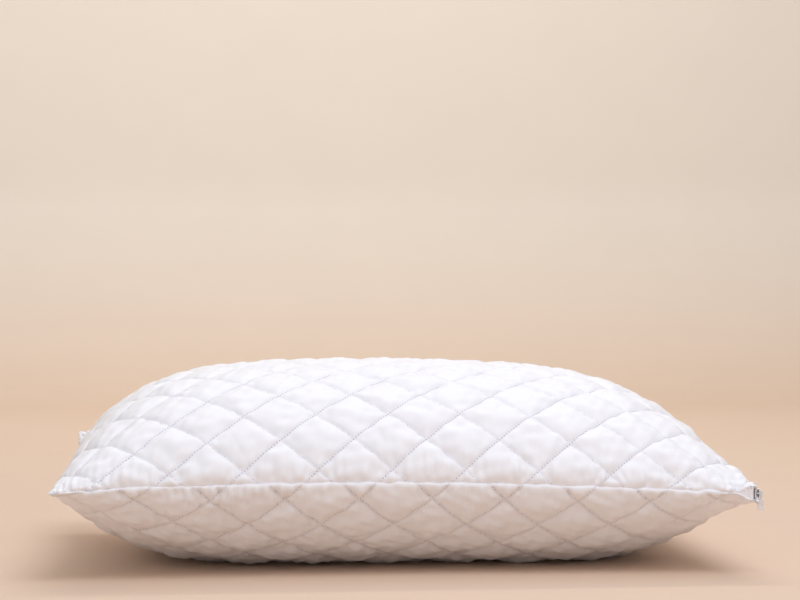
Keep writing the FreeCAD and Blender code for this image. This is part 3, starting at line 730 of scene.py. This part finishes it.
def stitchTree():
    # thread dashes along every line, with a dot of painted needle-hole shade between each two
    inputs = {
        "Pitch": ("Float", 0.0035),
        "Stitch Length": ("Float", 0.0024),
        "Thread Thickness": ("Float", 0.0005),
        "Hole Width": ("Float", 0.0009),
        "Thread": ("Material", None),
        "Hole": ("Material", None),
    }
    tree, given = newTree("runningStitches", inputs)
    lines = addNode(tree, "GeometryNodeMeshToCurve", {"Mesh": given["Geometry"]})
    spots = addNode(
        tree,
        "GeometryNodeResampleCurve",
        {"Curve": lines.outputs[0], "Length": given["Pitch"]},
        mode="LENGTH",
    )
    tangent = addNode(tree, "GeometryNodeInputTangent")
    upward = addNode(
        tree, "GeometryNodeInputNamedAttribute", {"Name": "clothNormal"}, data_type="FLOAT_VECTOR"
    )
    along = addNode(tree, "FunctionNodeAlignRotationToVector", {"Vector": tangent.outputs[0]}, axis="X")
    upright = addNode(
        tree,
        "FunctionNodeAlignRotationToVector",
        {"Rotation": along.outputs[0], "Vector": upward.outputs[0]},
        axis="Z",
        pivot_axis="X",
    )
    bead = addNode(tree, "GeometryNodeMeshUVSphere", {"Segments": 6, "Rings": 4, "Radius": 0.5})
    dash = addNode(
        tree,
        "ShaderNodeCombineXYZ",
        {0: given["Stitch Length"], 1: given["Thread Thickness"], 2: given["Thread Thickness"]},
    )
    dashes = addNode(
        tree,
        "GeometryNodeInstanceOnPoints",
        {
            "Points": spots.outputs[0],
            "Instance": bead.outputs[0],
            "Rotation": upright.outputs[0],
            "Scale": dash.outputs[0],
        },
    )
    halfPitch = addNode(tree, "ShaderNodeMath", {0: given["Pitch"], 1: 0.5}, operation="MULTIPLY")
    onward = addNode(
        tree,
        "ShaderNodeVectorMath",
        {0: tangent.outputs[0], "Scale": halfPitch.outputs[0]},
        operation="SCALE",
    )
    between = addNode(
        tree, "GeometryNodeSetPosition", {"Geometry": spots.outputs[0], "Offset": onward.outputs[0]}
    )
    dot = addNode(tree, "GeometryNodeMeshUVSphere", {"Segments": 6, "Rings": 3, "Radius": 0.5})
    thin = addNode(tree, "ShaderNodeMath", {0: given["Hole Width"], 1: 0.45}, operation="MULTIPLY")
    flat = addNode(
        tree, "ShaderNodeCombineXYZ", {0: given["Hole Width"], 1: given["Hole Width"], 2: thin.outputs[0]}
    )
    holes = addNode(
        tree,
        "GeometryNodeInstanceOnPoints",
        {
            "Points": between.outputs[0],
            "Instance": dot.outputs[0],
            "Rotation": upright.outputs[0],
            "Scale": flat.outputs[0],
        },
    )
    finished = []
    for pieces, material in ((dashes, given["Thread"]), (holes, given["Hole"])):
        real = addNode(tree, "GeometryNodeRealizeInstances", {"Geometry": pieces.outputs[0]})
        done = addNode(tree, "GeometryNodeSetMaterial", {"Geometry": real.outputs[0], "Material": material})
        finished.append(done)
    joined = addNode(tree, "GeometryNodeJoinGeometry")
    for piece in reversed(finished):
        tree.links.new(piece.outputs[0], joined.inputs[0])
    addNode(tree, "NodeGroupOutput", {"Geometry": joined.outputs[0]})
    return tree


runningStitches = stitchTree()


def sewLines(name, lines, upwards, raised, **changes):
    # stitches along lines of points, whose own upward directions lie in upwards, with dots of painted
    # needle-hole shade between them
    points, normals, edges = [], [], []
    for line, upward in zip(lines, upwards):
        first = len(points)
        points += [p + n * raised for p, n in zip(line, upward)]
        normals += list(upward)
        edges += [(first + k, first + k + 1) for k in range(len(line) - 1)]
    mesh = bpy.data.meshes.new(name)
    mesh.from_pydata([tuple(p) for p in points], edges, [])
    direction = mesh.attributes.new("clothNormal", "FLOAT_VECTOR", "POINT")
    direction.data.foreach_set("vector", np.array(normals, np.float32).ravel())
    thing = linked(name, mesh)
    sizes = {**stitching, **changes}
    settings = {
        "Pitch": sizes["pitch"],
        "Stitch Length": sizes["length"],
        "Thread Thickness": sizes["thick"],
        "Hole Width": sizes["hole"],
        "Thread": threadMaterial,
        "Hole": holeShadeMaterial,
    }
    bakeNodes(thing, runningStitches, settings)
    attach(thing, "pillow")
    print("sewn", name, len(thing.data.polygons))
    return thing


def quiltStitches(panel, thing):
    # along both sets of lines; those that run down to the right have smaller dots of painted hole shade, as
    # less shade shows at their holes in this light
    count = panel.columns * panel.rows
    place, normal = np.empty(len(thing.data.vertices) * 3), np.empty(len(thing.data.vertices) * 3)
    thing.data.vertices.foreach_get("co", place)
    thing.data.vertex_normals.foreach_get("vector", normal)
    place = place.reshape(-1, 3)[:count].reshape(panel.columns, panel.rows, 3)
    normal = normal.reshape(-1, 3)[:count].reshape(panel.columns, panel.rows, 3)
    inside = panel.edgeDistance() >= 1
    for family, values, chosen in (
        ("Rising", panel.risingLine, panel.onRising),
        ("Falling", panel.fallingLine, panel.onFalling),
    ):
        lines, upwards = [], []
        for value in np.unique(values[chosen & inside]):
            i, j = np.nonzero((values == value) & inside)
            if len(i) > 3:
                order = np.argsort(i)
                lines.append(place[i[order], j[order]])
                upwards.append(normal[i[order], j[order]])
        hole = stitching["hole"] * (1.0 if family == "Rising" else stitching["fallingHoleShade"])
        sewLines(thing.name + family + "Stitches", lines, upwards, stitching["raised"], hole=hole)


lining = {
    "depth": 0.0085,
    "setIn": 0.005,
    "steps": 4,  # cloth spacings across one face
    "rimIn": 0.002,  # its rim, further in than the cloth's tucked edge
    "rimAway": 0.0006,
    "upperLap": 0.0035,
}


def lineInside(panel, thing):
    # the flat inner side of the quilted panel, joined to its outer side all round
    thing.data.materials.append(nonWoven)
    columns = np.round(np.linspace(0, panel.columns - 1, panel.columns // lining["steps"])).astype(int)
    rows = np.round(np.linspace(0, panel.rows - 1, panel.rows // lining["steps"])).astype(int)
    u, v = np.meshgrid(panel.u[columns], panel.v[rows], indexing="ij")
    inner = surfacePoints(u, v, panel.isUpper, lining["setIn"], lining["depth"])
    x, y = planPoint(u, v, quilting["seamTuck"] + lining["rimIn"])
    rim = (np.abs(u) == 1) | (np.abs(v) == 1)
    side = 1 if panel.isUpper else -1
    lap = shutShare(x) * (-lining["upperLap"] if panel.isUpper else 0.0)
    height = seamHeight(u, v) + side * (zipGape(x) + lining["rimAway"]) + lap
    inner[rim] = np.stack([x, y, height], axis=-1)[rim]
    mesh = bmesh.new()
    mesh.from_mesh(thing.data)
    outerRim = [edge for edge in mesh.edges if edge.is_boundary]
    grid = [[mesh.verts.new(tuple(p)) for p in line] for line in inner]
    for i in range(len(columns) - 1):
        for j in range(len(rows) - 1):
            corners = [grid[i][j], grid[i][j + 1], grid[i + 1][j + 1], grid[i + 1][j]]
            face = mesh.faces.new(corners if panel.isUpper else corners[::-1])
            face.material_index, face.smooth = 1, True
    innerRim = [edge for edge in mesh.edges if edge.is_boundary and edge not in set(outerRim)]
    made = bmesh.ops.bridge_loops(mesh, edges=outerRim + innerRim)
    for face in made["faces"]:
        face.smooth = True
    bmesh.ops.recalc_face_normals(mesh, faces=mesh.faces)
    openEdges = sum(edge.is_boundary for edge in mesh.edges)
    mesh.to_mesh(thing.data)
    mesh.free()
    print("lined", thing.name, "open edges", openEdges)


covered = {
    "upperPanel": ["upper_face_fabric", "upper_wadding", "upper_lining", "seam_allowance"],
    "lowerPanel": ["lower_face_fabric", "lower_wadding", "lower_lining"],
}
for name, isUpper in (("upperPanel", True), ("lowerPanel", False)):
    panel = Panel(name, isUpper)
    thing = gridMesh(name, puffedGrid(panel), not isUpper)
    letClothGo(panel, thing)
    pinchCloth(panel, thing)
    quiltStitches(panel, thing)
    assign(thing, faceCloth)
    lineInside(panel, thing)
    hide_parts(*covered[name])
    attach(thing, "pillow")


# ---- the filled insert inside the cover

insert = {"setIn": 0.020, "depth": 0.0125, "columns": 64, "rows": 44}


def makeInsert():
    # a plain cushion, a little smaller than the cover
    columns, rows = insert["columns"], insert["rows"]
    s, t = np.meshgrid(np.linspace(-1, 1, columns), np.linspace(-1, 1, rows), indexing="ij")
    u, v = np.sin(s * math.pi / 2), np.sin(t * math.pi / 2)
    upper = surfacePoints(u, v, True, insert["setIn"], insert["depth"])
    lower = surfacePoints(u, v, False, insert["setIn"], insert["depth"])
    gape = zipGape(planPoint(u, v, insert["setIn"])[0])
    rim = (np.abs(u) > 0.999999) | (np.abs(v) > 0.999999)
    upper[..., 2] -= gape
    lower[..., 2] += gape
    lower[rim] = upper[rim]
    mesh = bmesh.new()
    top = [[mesh.verts.new(tuple(p)) for p in line] for line in upper]
    bottom = [
        [top[i][j] if rim[i, j] else mesh.verts.new(tuple(lower[i, j])) for j in range(rows)]
        for i in range(columns)
    ]
    for i in range(columns - 1):
        for j in range(rows - 1):
            mesh.faces.new([top[i][j], top[i + 1][j], top[i + 1][j + 1], top[i][j + 1]])
            mesh.faces.new([bottom[i][j], bottom[i][j + 1], bottom[i + 1][j + 1], bottom[i + 1][j]])
    for face in mesh.faces:
        face.smooth = True
    bmesh.ops.recalc_face_normals(mesh, faces=mesh.faces)
    data = bpy.data.meshes.new("insertCushion")
    mesh.to_mesh(data)
    mesh.free()
    thing = linked("insertCushion", data)
    assign(thing, nonWoven)
    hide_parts("insert_casing_upper", "insert_casing_lower", "insert_seam_flange", "fibre_fill")
    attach(thing, "pillow")
    print("insert made")


makeInsert()


# ---- the zip

zipper = {
    "pitch": 0.0016,
    "wire": 0.00034,  # radius of the coil's monofilament
    "stopEdge": 0.0003,  # rounding of the edges
    "sliderEdge": 0.0004,
    "pullerEdge": 0.0003,
}


def wovenTape():
    # woven polyester tape: slanted ribs about 1.2 mm apart, matt, and slightly grey between them from painted
    # shade in the grooves
    material = newMaterial("wovenPolyesterTape")
    tree = material.node_tree
    place = addNode(tree, "ShaderNodeTexCoord")
    ribs = addNode(
        tree,
        "ShaderNodeTexWave",
        {"Vector": place.outputs["Object"], "Scale": bandLength / 0.0012, "Distortion": 1.2, "Detail": 1.0},
        bands_direction="DIAGONAL",
    )
    bump = addNode(tree, "ShaderNodeBump", {"Strength": 0.5, "Distance": 0.0003, "Height": ribs.outputs[1]})
    # painted shade: the grooves between the ribs are greyer than their crests
    tone = addNode(
        tree,
        "ShaderNodeMix",
        {"Factor": ribs.outputs[1], 6: linearColour("#e9e7ea"), 7: linearColour("#f7f6f8")},
        data_type="RGBA",
    )
    cloth = addNode(
        tree,
        "ShaderNodeBsdfPrincipled",
        {"Base Color": tone.outputs[2], "Roughness": 0.7, "Normal": bump.outputs[0], "Sheen Weight": 0.1},
    )
    addNode(tree, "ShaderNodeOutputMaterial", {"Surface": cloth.outputs[0]})
    return material


def polyesterCoil():
    # drawn polyester monofilament, and the moulded stops: milky white and smooth, with a faint cloudiness
    material = newMaterial("polyesterMonofilament")
    tree = material.node_tree
    place = addNode(tree, "ShaderNodeTexCoord")
    clouds = addNode(
        tree, "ShaderNodeTexNoise", {"Vector": place.outputs["Object"], "Scale": 900.0, "Detail": 2.0}
    )
    tone = addNode(
        tree,
        "ShaderNodeMix",
        {"Factor": clouds.outputs[0], 6: linearColour("#f4f3f2"), 7: linearColour("#e6e4e4")},
        data_type="RGBA",
    )
    coil = addNode(
        tree,
        "ShaderNodeBsdfPrincipled",
        {
            "Base Color": tone.outputs[2],
            "Roughness": 0.3,
            "Subsurface Weight": 0.1,
            "Subsurface Scale": 0.001,
        },
    )
    addNode(tree, "ShaderNodeOutputMaterial", {"Surface": coil.outputs[0]})
    return material


def lacqueredZinc():
    # white stove lacquer over a zinc casting: smooth and glossy, with a faint orange peel about 0.8 mm across
    material = newMaterial("lacqueredZinc")
    tree = material.node_tree
    place = addNode(tree, "ShaderNodeTexCoord")
    peel = addNode(
        tree, "ShaderNodeTexNoise", {"Vector": place.outputs["Object"], "Scale": 1250.0, "Detail": 2.0}
    )
    rough = addNode(
        tree,
        "ShaderNodeMapRange",
        {"Value": peel.outputs[0], "From Min": 0.3, "From Max": 0.7, "To Min": 0.22, "To Max": 0.34},
    )
    bump = addNode(tree, "ShaderNodeBump", {"Strength": 0.1, "Distance": 0.0001, "Height": peel.outputs[0]})
    tone = addNode(
        tree,
        "ShaderNodeMix",
        {"Factor": peel.outputs[0], 6: linearColour("#f1f1f4"), 7: linearColour("#e6e6ea")},
        data_type="RGBA",
    )
    lacquer = addNode(
        tree,
        "ShaderNodeBsdfPrincipled",
        {
            "Base Color": tone.outputs[2],
            "Roughness": rough.outputs[0],
            "Normal": bump.outputs[0],
            "Coat Weight": 0.4,
        },
    )
    addNode(tree, "ShaderNodeOutputMaterial", {"Surface": lacquer.outputs[0]})
    return material


tapeMaterial, coilMaterial, lacquerMaterial = wovenTape(), polyesterCoil(), lacqueredZinc()


def coilTree():
    # a row of flattened loops along a line, each a bent ring of monofilament
    inputs = {
        "Pitch": ("Float", 0.0016),
        "Loop Size": ("Vector", None),
        "Wire Radius": ("Float", 0.0003),
        "Coil": ("Material", None),
    }
    tree, given = newTree("coilLoops", inputs)
    lines = addNode(tree, "GeometryNodeMeshToCurve", {"Mesh": given["Geometry"]})
    spots = addNode(
        tree,
        "GeometryNodeResampleCurve",
        {"Curve": lines.outputs[0], "Length": given["Pitch"]},
        mode="LENGTH",
    )
    ring = addNode(tree, "GeometryNodeCurvePrimitiveCircle", {"Resolution": 8, "Radius": 0.5}, mode="RADIUS")
    upright = addNode(
        tree, "GeometryNodeTransform", {"Geometry": ring.outputs[0], "Rotation": (math.pi / 2, 0.0, 0.0)}
    )
    shaped = addNode(
        tree, "GeometryNodeTransform", {"Geometry": upright.outputs[0], "Scale": given["Loop Size"]}
    )
    wire = addNode(
        tree,
        "GeometryNodeCurvePrimitiveCircle",
        {"Resolution": 5, "Radius": given["Wire Radius"]},
        mode="RADIUS",
    )
    loop = addNode(
        tree, "GeometryNodeCurveToMesh", {"Curve": shaped.outputs[0], "Profile Curve": wire.outputs[0]}
    )
    loops = addNode(
        tree, "GeometryNodeInstanceOnPoints", {"Points": spots.outputs[0], "Instance": loop.outputs[0]}
    )
    real = addNode(tree, "GeometryNodeRealizeInstances", {"Geometry": loops.outputs[0]})
    done = addNode(tree, "GeometryNodeSetMaterial", {"Geometry": real.outputs[0], "Material": given["Coil"]})
    addNode(tree, "NodeGroupOutput", {"Geometry": done.outputs[0]})
    return tree


coilLoops = coilTree()


def makeCoil(name, node, phase):
    # one row of loops, half a pitch (phase 1) or a whole one (phase 2) from the chain's start
    low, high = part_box(node)
    middle = (low + high) / 2
    mesh = bpy.data.meshes.new(name)
    halfPitch = zipper["pitch"] / 2
    ends = [(middle.x, y, middle.z) for y in (low.y + halfPitch * phase, high.y - halfPitch)]
    mesh.from_pydata(ends, [(0, 1)], [])
    thing = linked(name, mesh)
    thick = 2 * zipper["wire"]
    settings = {
        "Pitch": zipper["pitch"],
        "Loop Size": (high.x - low.x - thick, 1.0, high.z - low.z - thick),
        "Wire Radius": zipper["wire"],
        "Coil": coilMaterial,
    }
    bakeNodes(thing, coilLoops, settings)
    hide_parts(node)
    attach(thing, "pillow")
    print("coil", name, len(thing.data.polygons))


def bevelledCopy(name, node, body, width, material):
    # a CAD piece with its sharp edges rounded
    mesh = bmesh.new()
    mesh.from_mesh(nodes[node].data)
    bmesh.ops.remove_doubles(mesh, verts=mesh.verts, dist=1e-6)
    bmesh.ops.dissolve_limit(mesh, angle_limit=math.radians(2), verts=mesh.verts, edges=mesh.edges)
    bmesh.ops.recalc_face_normals(mesh, faces=mesh.faces)
    data = bpy.data.meshes.new(name)
    mesh.to_mesh(data)
    mesh.free()
    thing = linked(name, data)
    rounding = thing.modifiers.new("rounding", "BEVEL")
    rounding.width = width
    rounding.segments = 2
    rounding.limit_method = "ANGLE"
    rounding.angle_limit = math.radians(35)
    rounding.use_clamp_overlap = True
    keepModified(thing)
    thing.data.polygons.foreach_set("use_smooth", [True] * len(thing.data.polygons))
    thing.data.set_sharp_from_angle(angle=math.radians(40))
    assign(thing, material)
    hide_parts(node)
    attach(thing, body)
    return thing


makeCoil("zipCoilUpper", "zip_coil_upper", 1)
makeCoil("zipCoilLower", "zip_coil_lower", 2)

tape = {"thick": 0.0006, "flange": 0.0072, "bend": 0.0009, "steps": 150, "wave": 0.00012, "waveLength": 0.043}
endPatch = {
    "reach": 0.024,
    "endGap": 0.0012,
    "thick": 0.0006,
    "inset": 0.0024,
    "tuck": 0.0012,
    "gather": 0.0005,
    "gatherLength": 0.0034,
    "columns": 60,
    "rows": 12,
}


def clothStrip(name, grid, thick, node, material):
    # a strip of cloth from a grid of points, given its thickness, that stands for a CAD node
    thing = gridMesh(name, grid, False)
    area = sum(face.area for face in thing.data.polygons)
    wall = thing.modifiers.new("wall", "SOLIDIFY")
    wall.thickness = thick
    wall.offset = 0.0
    keepModified(thing)
    mesh = bmesh.new()
    mesh.from_mesh(thing.data)
    bmesh.ops.recalc_face_normals(mesh, faces=mesh.faces)
    mesh.to_mesh(thing.data)
    mesh.free()
    assign(thing, material)
    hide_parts(node)
    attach(thing, "pillow")
    return thing, area


def makeTape(name, node, sign):
    # a leg beside the coil, bent in under the panel's edge, where it is sewn
    low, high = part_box(node)
    leg = high.x - tape["thick"] / 2
    coilEdge, lipEdge = (low.z, high.z) if sign > 0 else (high.z, low.z)
    bendStart = lipEdge - sign * (tape["bend"] + tape["thick"] / 2)
    profile = [(leg, coilEdge + (bendStart - coilEdge) * k / 4) for k in range(5)]
    for k in range(1, 5):
        angle = math.pi / 2 * k / 4
        across = tape["bend"] * (1 - math.cos(angle))
        profile.append((leg - across, bendStart + sign * tape["bend"] * math.sin(angle)))
    last = profile[-1]
    profile += [(last[0] - (tape["flange"] - tape["bend"]) * k / 4, last[1]) for k in range(1, 5)]
    y = np.linspace(low.y, high.y, tape["steps"])
    grid = np.array([[(px, yy, pz) for px, pz in profile] for yy in y])
    sway = tape["wave"] * np.sin(2 * math.pi * y / tape["waveLength"])
    grid[:, 5:, 2] += sway[:, None]
    thing, area = clothStrip(name, grid, tape["thick"], node, tapeMaterial)


def makeEndPatch(name, node, sign):
    # gathered cloth that closes the side seam over the ends of the tapes
    end = form["halfLength"]
    x = np.linspace(end - endPatch["reach"], end - endPatch["endGap"], endPatch["columns"])
    heights = np.linspace(-1, 1, endPatch["rows"])
    grid = np.zeros((len(x), len(heights), 3))
    for k, s in enumerate(heights):
        u = x / form["halfLength"]
        px, py = planPoint(u, np.full_like(u, sign), endPatch["inset"])
        gathers = endPatch["gather"] * np.sin(2 * math.pi * x / endPatch["gatherLength"] + 1.3 * s)
        height = seamHeight(u, np.full_like(u, sign)) + s * (zipGape(x) + endPatch["tuck"])
        grid[:, k] = np.stack([px, py + sign * gathers, height], axis=-1)
    thing, area = clothStrip(name, grid, endPatch["thick"], node, faceCloth)
    print(name, "area", round(area * 1e6), "mm2")


makeTape("zipTapeUpper", "zip_tape_upper", 1)
makeTape("zipTapeLower", "zip_tape_lower", -1)
makeEndPatch("zipEndPatchFront", "zip_end_patch_front", -1)
makeEndPatch("zipEndPatchBack", "zip_end_patch_back", 1)
for node in ("top_stop_upper", "top_stop_lower", "bottom_stop"):
    words = node.split("_")
    name = words[0] + "".join(word.title() for word in words[1:])
    bevelledCopy(name, node, "pillow", zipper["stopEdge"], coilMaterial)
bevelledCopy("sliderBody", "slider_body", "slider", zipper["sliderEdge"], lacquerMaterial)
bevelledCopy("pullerTab", "puller_tab", "puller", zipper["pullerEdge"], lacquerMaterial)


tapeSewing = {
    "fromEdge": 0.0008,
    "fromEnd": 0.002,
    "steps": 0.01,
    "raised": 0.0002,
    "pitch": 0.0027,
    "length": 0.002,
    "thick": 0.0004,
    # hole: width of the dots of painted needle-hole shade
    "hole": 0.0004,
}


def sewTapes():
    # a row of stitches near the outer edge of each tape
    lines, upwards = [], []
    for node, sign in (("zip_tape_upper", 1), ("zip_tape_lower", -1)):
        low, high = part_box(node)
        z = (high.z if sign > 0 else low.z) - sign * tapeSewing["fromEdge"]
        ends = low.y + tapeSewing["fromEnd"], high.y - tapeSewing["fromEnd"]
        line = np.array([(high.x, y, z) for y in np.arange(*ends, tapeSewing["steps"])])
        lines.append(line)
        upwards.append(np.array([(1.0, 0.0, 0.0)] * len(line)))
    changed = {key: tapeSewing[key] for key in ("pitch", "length", "thick", "hole")}
    sewLines("tapeStitches", lines, upwards, tapeSewing["raised"], **changed)


sewTapes()
print("zip made")
